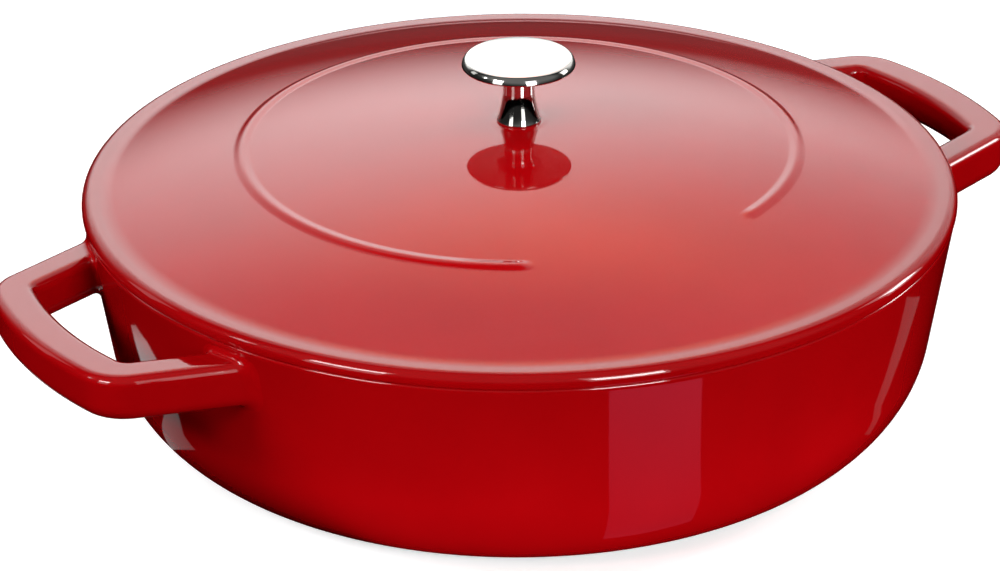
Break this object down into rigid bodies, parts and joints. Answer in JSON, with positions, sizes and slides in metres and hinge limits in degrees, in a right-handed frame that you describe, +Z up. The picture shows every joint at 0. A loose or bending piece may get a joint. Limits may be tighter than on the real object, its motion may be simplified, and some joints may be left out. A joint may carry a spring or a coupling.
{
  "type": "saute pan",
  "caption": "Low round enamelled cast iron saute pan with loop handles cast in its wall and a domed lift-off lid carrying a turned metal knob.",
  "frame": {"origin": "on the table under the centre of the round base", "axes": "+X along the line through both handles, +Y across it, +Z up along the axis of the pan and its lid"},
  "size_m": [0.3622, 0.2888, 0.1255],
  "materials": {
    "pan_enamel": "glossy red enamel outside, matt black enamel inside",
    "lid_enamel": "glossy red enamel outside, matt black enamel inside",
    "knob_metal": "polished nickel plate",
    "washer_steel": "stainless steel",
    "screw_steel": "stainless steel"
  },
  "bodies": {
    "pan": {"pan_body": "pan_enamel"},
    "lid": {"lid": "lid_enamel", "knob": "knob_metal", "knob_washer": "washer_steel", "knob_screw": "screw_steel"}
  },
  "joints": [
    {"name": "lid_lift", "type": "slide", "parent": "pan", "child": "lid", "axis": [0, 0, 1], "range_m": [0, 0.15]}
  ]
}
